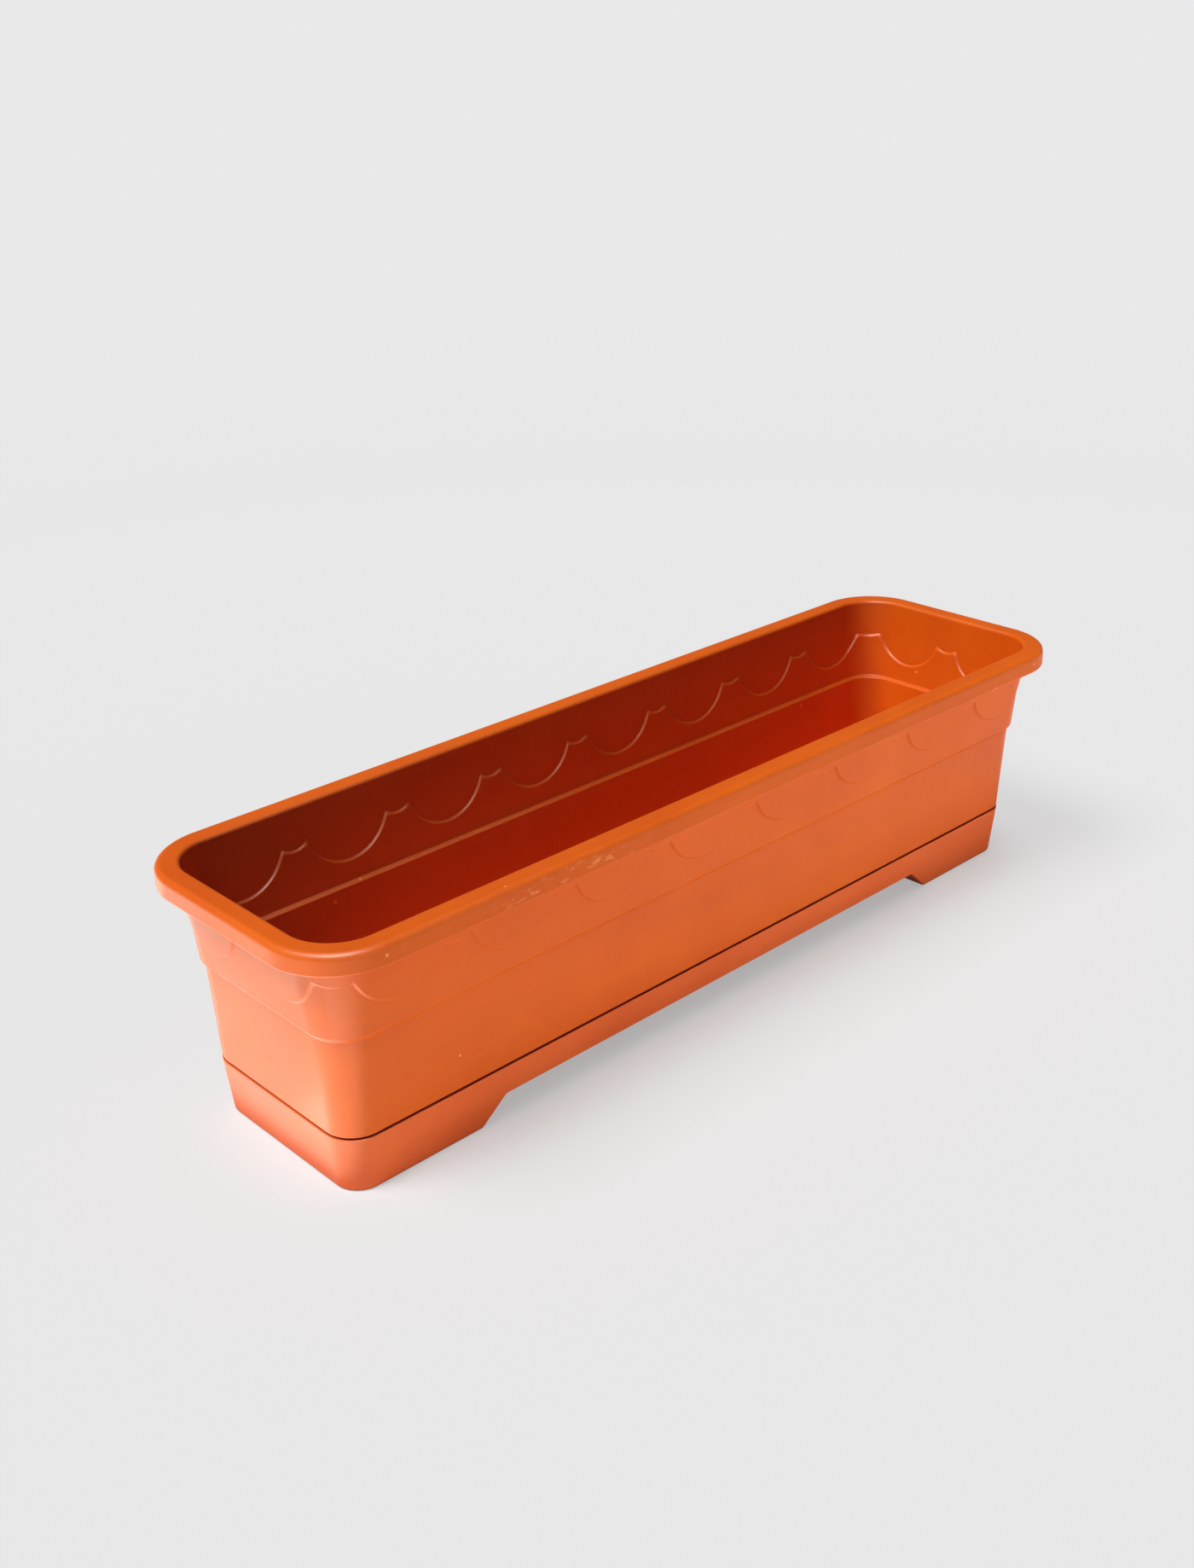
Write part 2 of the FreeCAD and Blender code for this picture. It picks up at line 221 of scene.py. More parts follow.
def wallColumns(bowls, pitch, end):
    s = scallops
    places = [-end, end]
    for bowl in range(bowls):
        places += discColumns((bowl - (bowls - 1) / 2) * pitch, (pitch - s["crownWidth"]) / 2,
                              s["crownPoint"] - s["bowlBase"], s["bowlSteps"])
    for crown in range(bowls - 1):
        places += discColumns((crown - (bowls - 2) / 2) * pitch, s["crownWidth"] / 2,
                              s["crownPoint"] - s["crownDip"], s["crownSteps"])
    return spaced(places, end)


def spaced(places, end, gap=0.3):  # sorted, within the straight part of the wall, no two within the gap
    kept = [-end]
    for place in sorted(places):
        if place - kept[-1] > gap and end - place > gap:
            kept.append(place)
    return kept + [end]


def cornerAngles():
    cusp, beside, within = (scallops[key] for key in ("cuspAngle", "cuspSteps", "cornerCrownSteps"))
    stretches = [(0, cusp, beside), (cusp, 90 - cusp, within), (90 - cusp, 90, beside)]
    return [low + (high - low) * step / steps for low, high, steps in stretches for step in range(steps)]


def aroundBox(alongX, alongY, angles, reach):  # closed loop of (x, y), anticlockwise from the near left
    loop = []
    for quarter, (signX, signY) in enumerate([(1, -1), (1, 1), (-1, 1), (-1, -1)]):
        forwards = 1 if quarter < 2 else -1
        for place in (alongX if quarter % 2 == 0 else alongY)[:-1]:
            if quarter % 2 == 0:
                loop.append((forwards * place, signY * (core["y"] + reach)))
            else:
                loop.append((signX * (core["x"] + reach), forwards * place))
        for angle in angles:
            heading = math.radians(angle + 90 * quarter - 90)
            loop.append((signX * core["x"] + reach * math.cos(heading),
                         signY * core["y"] + reach * math.sin(heading)))
    return loop


def meshObject(name, points, edges=(), faces=()):
    mesh = bpy.data.meshes.new(name)
    mesh.from_pydata([tuple(point) for point in points], edges, faces)
    mesh.update()
    made = bpy.data.objects.new(name, mesh)
    scene.collection.objects.link(made)
    return made


class Amount:  # a number in a node tree, worked with in ordinary signs
    def __init__(self, tree, socket):
        self.tree, self.socket = tree, socket

    def math(self, operation, *others):
        node = self.tree.nodes.new("ShaderNodeMath")
        node.operation = operation
        for slot, value in zip(node.inputs, (self,) + others):
            if isinstance(value, Amount):
                self.tree.links.new(value.socket, slot)
            else:
                slot.default_value = value
        return Amount(self.tree, node.outputs[0])

    def __add__(self, other):
        return self.math("ADD", other)

    def __sub__(self, other):
        return self.math("SUBTRACT", other)

    def __mul__(self, other):
        return self.math("MULTIPLY", other)

    def __truediv__(self, other):
        return self.math("DIVIDE", other)

    def smaller(self, other):
        return self.math("MINIMUM", other)

    def larger(self, other):
        return self.math("MAXIMUM", other)


def add(tree, kind, inputs, outlet=0, **settings):  # a node with its inputs filled, as one of its outlets
    node = tree.nodes.new(kind)
    for key, value in settings.items():
        setattr(node, key, value)
    for key, value in inputs.items():
        slot = node.inputs[key]
        if isinstance(value, Amount):
            value = value.socket
        if isinstance(value, bpy.types.NodeSocket):
            tree.links.new(value, slot)
        else:
            slot.default_value = value
    return node.outputs[outlet]


def vector(tree, operation, first, second=None, scale=None):
    inputs = {0: first}
    if second is not None:
        inputs[1] = second
    if scale is not None:
        inputs["Scale"] = scale
    return add(tree, "ShaderNodeVectorMath", inputs, operation=operation)


def joinAll(tree, pieces):
    node = tree.nodes.new("GeometryNodeJoinGeometry")
    for piece in pieces:
        tree.links.new(piece, node.inputs[0])
    return node.outputs[0]


def newTree(name, sockets):  # geometry tree whose inputs are {label: kind of socket}
    tree = bpy.data.node_groups.new(name, "GeometryNodeTree")
    tree.interface.new_socket("Geometry", in_out="INPUT", socket_type="NodeSocketGeometry")
    for label, kind in sockets.items():
        tree.interface.new_socket(label, in_out="INPUT", socket_type=f"NodeSocket{kind}")
    tree.interface.new_socket("Geometry", in_out="OUTPUT", socket_type="NodeSocketGeometry")
    return tree, tree.nodes.new("NodeGroupInput").outputs


def closeTree(tree, geometry, finish):
    real = add(tree, "GeometryNodeRealizeInstances", {"Geometry": geometry})
    dressed = add(tree, "GeometryNodeSetMaterial", {"Geometry": real, "Material": finish})
    tree.links.new(dressed, tree.nodes.new("NodeGroupOutput").inputs[0])


def runTree(made, tree, values):  # sets the named inputs, then keeps what the tree makes as a plain mesh
    modifier = made.modifiers.new(tree.name, "NODES")
    modifier.node_group = tree
    for item in tree.interface.items_tree:
        if item.in_out == "INPUT" and item.name in values:
            modifier[item.identifier] = values[item.name]
    depsgraph = bpy.context.evaluated_depsgraph_get()
    mesh = bpy.data.meshes.new_from_object(made.evaluated_get(depsgraph))
    made.modifiers.remove(modifier)
    made.data = mesh
    mesh.name = made.name


def outwardFaces(made, weld=0.03 * mm):  # closes the seams and turns every face outwards
    shell = bmesh.new()
    shell.from_mesh(made.data)
    bmesh.ops.remove_doubles(shell, verts=shell.verts, dist=weld)
    bmesh.ops.recalc_face_normals(shell, faces=shell.faces)
    openEdges = sum(1 for edge in shell.edges if not edge.is_manifold)
    for face in shell.faces:
        face.smooth = True
    shell.to_mesh(made.data)
    shell.free()
    print(f"{made.name}: {len(made.data.polygons)} faces, {openEdges} open edges")


def coreAndOutward(tree, given):  # nearest point of the core rectangle, and the way out from it
    position = add(tree, "GeometryNodeInputPosition", {})
    corner = add(tree, "ShaderNodeCombineXYZ", {"X": given["Core X"], "Y": given["Core Y"]})
    low = vector(tree, "MAXIMUM", position, vector(tree, "SCALE", corner, scale=-1.0))
    inside = vector(tree, "MINIMUM", low, corner)
    away = vector(tree, "MULTIPLY", vector(tree, "SUBTRACT", position, inside), (1, 1, 0))
    return inside, vector(tree, "NORMALIZE", away)


def pointAt(tree, inside, outward, reach, height):
    foot = vector(tree, "ADD", inside, vector(tree, "SCALE", outward, scale=reach))
    return vector(tree, "ADD", foot, add(tree, "ShaderNodeCombineXYZ", {"Z": height}))


def scallopHeight(tree, given, point, level):  # height of the scallop line, swollen downwards by level
    split = tree.nodes.new("ShaderNodeSeparateXYZ")
    tree.links.new(point, split.inputs[0])
    acrossX, acrossY = (Amount(tree, split.outputs[axis]).math("ABSOLUTE") for axis in (0, 1))
    size = {label: Amount(tree, given[label]) for label in (
        "Core X", "Core Y", "Long Pitch", "End Pitch", "Crown Width", "Corner Crown Width",
        "Bowl Base", "Crown Dip", "Crown Point", "Scallop Top")}

    def disc(across, halfWidth, bottom):  # lowest arc of a bowl or a crown
        depth = size["Crown Point"] - bottom
        radius = (halfWidth * halfWidth + depth * depth) / (depth * 2)
        swollen = radius + level
        drop = (swollen * swollen - across * across).larger(0).math("SQRT")
        return bottom + radius - drop

    pitch, halfCrown = size["Long Pitch"], size["Crown Width"] / 2
    last = scallops["longBowls"] / 2 - 1  # number of the last bowl, and of the last crown before the corner's
    bowl = (acrossX / pitch).math("FLOOR").smaller(last)
    crown = (acrossX / pitch).math("ROUND").smaller(last)
    diagonal = ((acrossX - size["Core X"]) - (acrossY - size["Core Y"])) / math.sqrt(2)
    endPlace = acrossY - size["End Pitch"] / 2
    line = size["Scallop Top"] - level
    line = line.smaller(disc(acrossX - (bowl + 0.5) * pitch, pitch / 2 - halfCrown, size["Bowl Base"]))
    line = line.smaller(disc(acrossX - crown * pitch, halfCrown, size["Crown Dip"]))
    line = line.smaller(disc(endPlace, size["End Pitch"] / 2 - halfCrown, size["Bowl Base"]))
    line = line.smaller(disc(acrossY, halfCrown, size["Crown Dip"]))
    return line.smaller(disc(diagonal, size["Corner Crown Width"] / 2, size["Crown Dip"]))


def lifted(tree, geometry, height):
    lift = add(tree, "ShaderNodeCombineXYZ", {"Z": height})
    return add(tree, "GeometryNodeSetPosition", {"Geometry": geometry, "Offset": lift})


def twoRows(tree, columns, pitch, row):  # points in two rows along x, each as far as row from the middle
    columns = Amount(tree, columns)
    return add(tree, "GeometryNodeMeshGrid", {
        "Size X": Amount(tree, pitch) * (columns - 1), "Size Y": Amount(tree, row) * 2,
        "Vertices X": columns, "Vertices Y": 2})


def drilledFloor(tree, given, path, inside, outward):  # both faces of the floor, and the holes' walls
    spots = twoRows(tree, given["Drain Columns"], given["Drain Pitch"], given["Drain Row"])
    ring = add(tree, "GeometryNodeCurvePrimitiveCircle", {
        "Resolution": trough["drainSides"], "Radius": given["Drain Radius"]})
    rings = add(tree, "GeometryNodeInstanceOnPoints", {"Points": spots, "Instance": ring})
    rings = add(tree, "GeometryNodeRealizeInstances", {"Geometry": rings})
    edge = add(tree, "GeometryNodeSetPosition", {
        "Geometry": path, "Position": pointAt(tree, inside, outward, given["Floor Reach"], 0.0)})
    sheet = add(tree, "GeometryNodeFillCurve", {"Curve": joinAll(tree, [edge, rings])})
    low, high = Amount(tree, given["Floor Base"]), Amount(tree, given["Floor Top"])
    faces = [lifted(tree, sheet, low), lifted(tree, sheet, high)]
    bore = add(tree, "GeometryNodeMeshCylinder", {
        "Vertices": trough["drainSides"], "Radius": given["Drain Radius"], "Depth": high - low},
        fill_type="NONE")
    bore = lifted(tree, bore, (low + high) / 2)
    bores = add(tree, "GeometryNodeInstanceOnPoints", {"Points": spots, "Instance": bore})
    return faces + [bores]


def scallopedTroughTree():
    lengths = ["Core X", "Core Y", "Long Pitch", "End Pitch", "Crown Width", "Corner Crown Width",
               "Bowl Base", "Crown Dip", "Crown Point", "Scallop Top", "Band Base", "Band Reach",
               "Band Top", "Band Top Reach", "Floor Reach", "Floor Top", "Floor Base",
               "Drain Radius", "Drain Pitch", "Drain Row"]
    tree, given = newTree("scallopedTrough", {
        "Path": "Object", **{label: "Float" for label in lengths},
        "Drain Columns": "Int", "Finish": "Material"})
    section = add(tree, "GeometryNodeMeshToCurve", {"Mesh": given["Geometry"]})
    pathMesh = add(tree, "GeometryNodeObjectInfo", {"Object": given["Path"]}, outlet="Geometry")
    path = add(tree, "GeometryNodeMeshToCurve", {"Mesh": pathMesh})
    path = add(tree, "GeometryNodeSetCurveNormal", {"Curve": path}, mode="Z_UP")
    swept = add(tree, "GeometryNodeCurveToMesh", {"Curve": path, "Profile Curve": section})

    inside, outward = coreAndOutward(tree, given)
    reach, height, follow, level, offset = (
        Amount(tree, add(tree, "GeometryNodeInputNamedAttribute", {"Name": name}, data_type="FLOAT"))
        for name in ("reach", "height", "follow", "level", "offset"))
    line = scallopHeight(tree, given, pointAt(tree, inside, outward, reach, height), level)
    bent = height + (line - height) * follow
    lean = add(tree, "ShaderNodeMapRange", {
        "Value": bent, "From Min": given["Band Base"], "From Max": given["Band Top"],
        "To Min": given["Band Reach"], "To Max": given["Band Top Reach"]}, clamp=False)
    follows = follow.math("GREATER_THAN", 0.0)
    bentReach = reach + (Amount(tree, lean) + offset - reach) * follows
    wall = add(tree, "GeometryNodeSetPosition", {
        "Geometry": swept, "Position": pointAt(tree, inside, outward, bentReach, bent)})
    floor = drilledFloor(tree, given, path, inside, outward)
    closeTree(tree, joinAll(tree, [wall] + floor), given["Finish"])
    return tree


def sectionObject(rows):  # the section as a line of points that carry what each row does
    points = [(reach * mm, height * mm, 0) for reach, height, *_ in rows]
    made = meshObject("planterTrough", points, [(index, index + 1) for index in range(len(points) - 1)])
    for column, (name, scale) in enumerate([
            ("reach", mm), ("height", mm), ("follow", 1), ("level", mm), ("offset", mm)]):
        values = made.data.attributes.new(name, "FLOAT", "POINT")
        values.data.foreach_set("value", [row[column] * scale for row in rows])
    return made


def buildTrough(finish):
    s, t = scallops, trough
    alongX = wallColumns(s["longBowls"], s["longPitch"], core["x"])
    alongY = wallColumns(s["endBowls"], s["endPitch"], core["y"])
    loop = aroundBox(alongX, alongY, cornerAngles(), s["cornerCrown"])
    path = meshObject("sweepPath", [(x * mm, y * mm, 0) for x, y in loop],
                      [(index, (index + 1) % len(loop)) for index in range(len(loop))])
    made = sectionObject(troughSection())
    runTree(made, scallopedTroughTree(), {
        "Path": path, "Core X": core["x"] * mm, "Core Y": core["y"] * mm,
        "Long Pitch": s["longPitch"] * mm, "End Pitch": s["endPitch"] * mm,
        "Crown Width": s["crownWidth"] * mm, "Corner Crown Width": s["cornerCrownWidth"] * mm,
        "Bowl Base": s["bowlBase"] * mm, "Crown Dip": s["crownDip"] * mm,
        "Crown Point": s["crownPoint"] * mm, "Scallop Top": s["top"] * mm,
        "Band Base": t["bandBase"] * mm, "Band Reach": t["bandReach"] * mm,
        "Band Top": t["bandTop"] * mm, "Band Top Reach": t["bandTopReach"] * mm,
        "Floor Reach": t["floorRing"] * mm, "Floor Base": t["nestBase"] * mm,
        "Floor Top": (t["nestBase"] + t["floorSkin"]) * mm, "Drain Radius": t["drainRadius"] * mm,
        "Drain Pitch": t["drainPitch"] * mm, "Drain Row": t["drainRow"] * mm,
        "Drain Columns": t["drainColumns"], "Finish": finish})
    bpy.data.objects.remove(path)
    outwardFaces(made)
    return made


tray = {
    "height": trayHigh.z,
    "topReach": 18.2,
    "baseReach": 14.9,
    "wall": 2.0,
    "skin": 2.2,
    "archHeight": 14.6,
    "archBaseHalf": 191.5,
    "archTopHalf": 175.5,
    "archRound": 2.6,
    "lipRound": 0.45,
    "footRound": 1.5,
    "floorRound": 1.6,
    "floorRing": 4.0,
    "roundSteps": 5,
    "lipSteps": 3,
    "support": 0.5,  # gap from a round to the row that keeps its neighbour flat
    "lipSupport": 0.4,
    "halfWayLift": 0.25,  # share of the arch's height by which it bends the rows half way up
    "cornerSteps": 18,
    "columnGap": 25.0,
    "middleColumns": 6,  # to each side of the middle
    "endColumn": 15.0,
    "padLength": 44.0,
    "padWidth": 4.0,
    "padPitch": 130.0,
    "padColumns": 3,
    "padRow": 30.0,
    "padRound": 1.0,
    "padSunk": 0.4,  # below the floor's surface, so that no gap shows under a pad
}


def archLine(outset, rise, radius):  # (x, height) of the arch, or of the floor's ridge above it
    base, top, ends = tray["archBaseHalf"] + outset, tray["archTopHalf"] + outset, core["x"] + rimReach
    corners = [(-ends, 0, 0), (-base, 0, radius), (-top, rise, radius),
               (top, rise, radius), (base, 0, radius), (ends, 0, 0)]
    return np.array(roundedLine(corners, steps=6, support=1.0))


def quarterTurn(steps):  # (sine, cosine) at even steps from 0 to 90 degrees
    angles = [math.radians(90 * step / steps) for step in range(steps + 1)]
    return [(math.sin(angle), math.cos(angle)) for angle in angles]


def trayRows():  # (share of the arch, of the ridge, height, inset from the outer wall or None, reach)
    t = tray
    top, half, bent, wall = t["height"], t["height"] / 2, t["halfWayLift"], t["wall"]
    foot, lip, bend, support = t["footRound"], t["lipRound"], t["floorRound"], t["support"]
    rows = [(1, 0, 0, None, t["floorRing"]), (1, 0, 0, foot + support, 0)]
    wideTurn, lipTurn = quarterTurn(t["roundSteps"]), quarterTurn(t["lipSteps"])
    rows += [(1, 0, foot * (1 - cosine), foot * (1 - sine), 0) for sine, cosine in wideTurn]
    rows += [(1, 0, foot + support, 0, 0), (bent, 0, half, 0, 0)]
    rows += [(0, 0, top - lip - t["lipSupport"], 0, 0)]
    rows += [(0, 0, top - lip * (1 - sine), lip * (1 - cosine), 0) for sine, cosine in lipTurn]
    rows += [(0, 0, top - lip * (1 - cosine), wall - lip * (1 - sine), 0) for sine, cosine in lipTurn]
    rows += [(0, 0, top - lip - t["lipSupport"], wall, 0), (0, bent, half, wall, 0)]
    rows += [(0, 1, t["skin"] + bend + support, wall, 0)]
    rows += [(0, 1, t["skin"] + bend * (1 - sine), wall + bend * (1 - cosine), 0)
             for sine, cosine in wideTurn]
    rows += [(0, 1, t["skin"], wall + bend + support, 0), (0, 1, t["skin"], None, t["floorRing"])]
    return rows


def padsTree():
    tree, given = newTree("restingPads", {
        "Length": "Float", "Width": "Float", "Height": "Float", "Base": "Float", "Pitch": "Float",
        "Row": "Float", "Columns": "Int", "Finish": "Material"})
    spots = twoRows(tree, given["Columns"], given["Pitch"], given["Row"])
    spots = lifted(tree, spots, Amount(tree, given["Base"]) + Amount(tree, given["Height"]) / 2)
    size = add(tree, "ShaderNodeCombineXYZ", {
        "X": given["Length"], "Y": given["Width"], "Z": given["Height"]})
    pad = add(tree, "GeometryNodeMeshCube", {"Size": size})
    pads = add(tree, "GeometryNodeInstanceOnPoints", {"Points": spots, "Instance": pad})
    closeTree(tree, pads, given["Finish"])
    return tree


def buildPads(finish):
    t = tray
    floorTop = t["archHeight"] + t["skin"]
    base = floorTop - t["padSunk"]
    made = meshObject("restingPads", [])
    runTree(made, padsTree(), {
        "Length": t["padLength"] * mm, "Width": t["padWidth"] * mm,
        "Height": (trough["nestBase"] - base) * mm, "Base": base * mm, "Pitch": t["padPitch"] * mm,
        "Row": t["padRow"] * mm, "Columns": t["padColumns"], "Finish": finish})
    shell = bmesh.new()
    shell.from_mesh(made.data)
    upper = [edge for edge in shell.edges if max(end.co.z for end in edge.verts) > floorTop * mm]
    bmesh.ops.bevel(shell, geom=upper, offset=t["padRound"] * mm, segments=3, affect="EDGES")
    shell.to_mesh(made.data)
    shell.free()
    return made


def trayPoints(rows, around, arch, ridge):  # one loop of points for each row
    t = tray
    taper = (t["topReach"] - t["baseReach"]) / t["height"]
    points = []
    for archShare, ridgeShare, height, inset, reach in rows:
        for x, y in around:
            z = height + archShare * np.interp(x, *arch.T) + ridgeShare * np.interp(x, *ridge.T)
            out = reach if inset is None else t["baseReach"] + z * taper - inset
            foot = Vector((max(-core["x"], min(core["x"], x)), max(-core["y"], min(core["y"], y))))
            away = (Vector((x, y)) - foot).normalized() * out
            points.append(((foot.x + away.x) * mm, (foot.y + away.y) * mm, z * mm))
    return points


def trayFaces(rowCount, loopCount, longCount, backStart):  # the walls, then the flats in both end loops
    faces = []
    for row in range(rowCount - 1):
        for column in range(loopCount):
            following = (column + 1) % loopCount
            faces.append((row * loopCount + column, row * loopCount + following,
                          (row + 1) * loopCount + following, (row + 1) * loopCount + column))
    for row in (0, rowCount - 1):
        start = row * loopCount
        for column in range(longCount):
            across = start + backStart + longCount - column
            faces.append((start + column, start + column + 1, across - 1, across))
        right = [start + column for column in range(longCount, backStart + 1)]
        left = [start + column for column in range(backStart + longCount, loopCount)] + [start]
        faces += [tuple(right), tuple(left)]
    return faces


def buildTray(finish):
    t = tray
    arch = archLine(0, t["archHeight"], t["archRound"])
    ridge = archLine(t["skin"], t["archHeight"], t["archRound"])
    middle = [step * t["columnGap"] for step in range(-t["middleColumns"], t["middleColumns"] + 1)]
    alongX = spaced(list(arch[:, 0]) + list(ridge[:, 0]) + middle, core["x"])
    alongY = spaced([-t["endColumn"], t["endColumn"]], core["y"])
    angles = [90 * step / t["cornerSteps"] for step in range(t["cornerSteps"])]
    around = aroundBox(alongX, alongY, angles, t["baseReach"])
    rows = trayRows()
    longCount = len(alongX) - 1
    backStart = longCount + len(alongY) - 1 + 2 * len(angles)
    made = meshObject("dripTray", trayPoints(rows, around, arch, ridge),
                      faces=trayFaces(len(rows), len(around), longCount, backStart))
    made.data.materials.append(finish)
    outwardFaces(made)
    joinInto(made, buildPads(finish))
    return made


def joinInto(made, extra):
    shell = bmesh.new()
    shell.from_mesh(made.data)
    shell.from_mesh(extra.data)
    for face in shell.faces:
        face.smooth = True
    shell.to_mesh(made.data)
    shell.free()
    bpy.data.objects.remove(extra)


orange = {
    "deep": (0.63, 0.090, 0.002, 1),
    "pale": (0.72, 0.120, 0.003, 1),
    # bright tone of the painted highlight on sharp edges
    "paintedHighlight": (1.0, 0.24, 0.008, 1),
    "dusty": (0.88, 0.30, 0.10, 1),
    # dark tone of the painted shade in creases and under the rim
    "shade": (0.36, 0.030, 0.001, 1),
    "paintedCreviceShade": 0.007,  # metres within which neighbouring faces darken the colour with painted shade
}
salmon = {
    "deep": (0.68, 0.110, 0.022, 1),
    "pale": (0.77, 0.142, 0.032, 1),
    # bright tone of the painted highlight on sharp edges
    "paintedHighlight": (0.90, 0.22, 0.06, 1),
    "dusty": (0.90, 0.32, 0.14, 1),
    # dark tone of the painted shade in creases and under the rim
    "shade": (0.40, 0.045, 0.006, 1),
    "paintedCreviceShade": 0.0025,
}
surface = {
    "gloss": 0.15,
    "roughLow": 0.37,
    "roughHigh": 0.50,
    "roughSpread": (0.3, 0.7),  # values of the noise between which the roughness goes from low to high
    "mottling": 14.0,  # noise scales are per metre
    "flow": 34.0,
    "flowStretch": (0.15, 0.5, 1.0),
    "grain": 1300.0,
    "tonePart": (0.45, 0.35, 0.20),  # of the mottling, the flow and the grain in the colour
    "toneLow": 0.36,
    "toneHigh": 0.64,
    "waves": 22.0,
    "waveShare": 0.10,  # in millimetres, as the bump's distance is one millimetre
    "grainShare": 0.012,
    "dust": 58.0,
    "dustSize": 0.034,
    "dustChance": 0.55,  # the higher, the fewer specks
    "dustShare": 0.85,
    "edgeLow": 0.515,  # pointiness where a sharp edge starts to take the painted highlight, and where it fully has it
    "edgeHigh": 0.60,
    "edgeShare": 0.50,
    "paintedShadeOpen": 0.95,  # openness at which the painted shade in a crevice starts, and at which it is full
    "paintedShadeClosed": 0.60,
    # share of the painted shade where it is full
    "paintedShadeShare": 0.70,
}
marks = {  # small pale marks of the real box: place, then radius, in millimetres
    "skirtNick": (220.0, -84.4, 139.3, 0.9),
    "cornerDot": (262.1, -84.4, 144.0, 1.0),
    "rightEndDots": (282.0, 36.6, 109.7, 1.1),
    "rightEndDot": (281.5, 21.8, 105.9, 0.9),
    "innerSpeck": (-190.0, 62.8, 89.0, 1.3),
    "ledgeSpeck": (-171.3, 64.0, 96.0, 0.9),
    "nearCornerDot": (-261.0, -84.5, 143.9, 0.9),
    "frontWallMark": (-206.8, -63.0, 54.7, 0.9),
    "rimTopSpeck": (-186.5, -80.6, 149.6, 0.8),
    "farInnerSpeck": (206.5, 62.8, 91.0, 0.9),
}
scuffs = {  # rubbed patch on the front of the rim, in millimetres
    "middle": (-148.0, -84.4, 142.6),
    "reach": (62.0, 6.0, 6.0),
    "core": 0.4,  # share of the reach that is rubbed evenly, before the patch fades out
    "fineness": 420.0,
    "stretch": (0.35, 1.0, 1.0),
    "rubbedLow": 0.54,
    "rubbedHigh": 0.66,
    "share": 0.55,
}


def noise(tree, place, scale, detail=2.0):
    inputs = {"Vector": place, "Scale": scale, "Detail": detail}
    return Amount(tree, add(tree, "ShaderNodeTexNoise", inputs))


def ramp(tree, value, low, high, least=0.0, most=1.0):
    return Amount(tree, add(tree, "ShaderNodeMapRange", {
        "Value": value, "From Min": low, "From Max": high, "To Min": least, "To Max": most}))


def blend(tree, share, first, second):
    return add(tree, "ShaderNodeMix", {0: share, 6: first, 7: second}, outlet=2, data_type="RGBA")


def length(tree, offset):
    return Amount(tree, add(tree, "ShaderNodeVectorMath", {0: offset}, outlet=1, operation="LENGTH"))


def openness(tree, distance, samples):  # 1 in the open, less where faces stand within the distance
    return add(tree, "ShaderNodeAmbientOcclusion", {"Distance": distance}, outlet="AO", samples=samples)


def inMetres(values):
    return tuple(value * mm for value in values)


def dustAndMarks(tree, place):  # 1 on each speck of dust and each mark, 0 elsewhere
    cells = tree.nodes.new("ShaderNodeTexVoronoi")
    cells.inputs["Scale"].default_value = surface["dust"]
    tree.links.new(place, cells.inputs["Vector"])
    chance = Amount(tree, add(tree, "ShaderNodeSeparateColor", {"Color": cells.outputs["Color"]}))
    size = (chance - surface["dustChance"]) * surface["dustSize"]
    found = size.math("GREATER_THAN", Amount(tree, cells.outputs["Distance"]))
    for *spot, radius in marks.values():
        away = length(tree, vector(tree, "SUBTRACT", place, inMetres(spot)))
        found = found.larger(away.math("LESS_THAN", radius * mm))
    return found


def scuffed(tree, place):
    fromMiddle = vector(tree, "SUBTRACT", place, inMetres(scuffs["middle"]))
    away = length(tree, vector(tree, "DIVIDE", fromMiddle, inMetres(scuffs["reach"])))
    stretched = vector(tree, "MULTIPLY", place, scuffs["stretch"])
    rubbed = noise(tree, stretched, scuffs["fineness"], detail=4.0)
    rubbed = ramp(tree, rubbed, scuffs["rubbedLow"], scuffs["rubbedHigh"])
    return ramp(tree, away, 1.0, scuffs["core"]) * rubbed


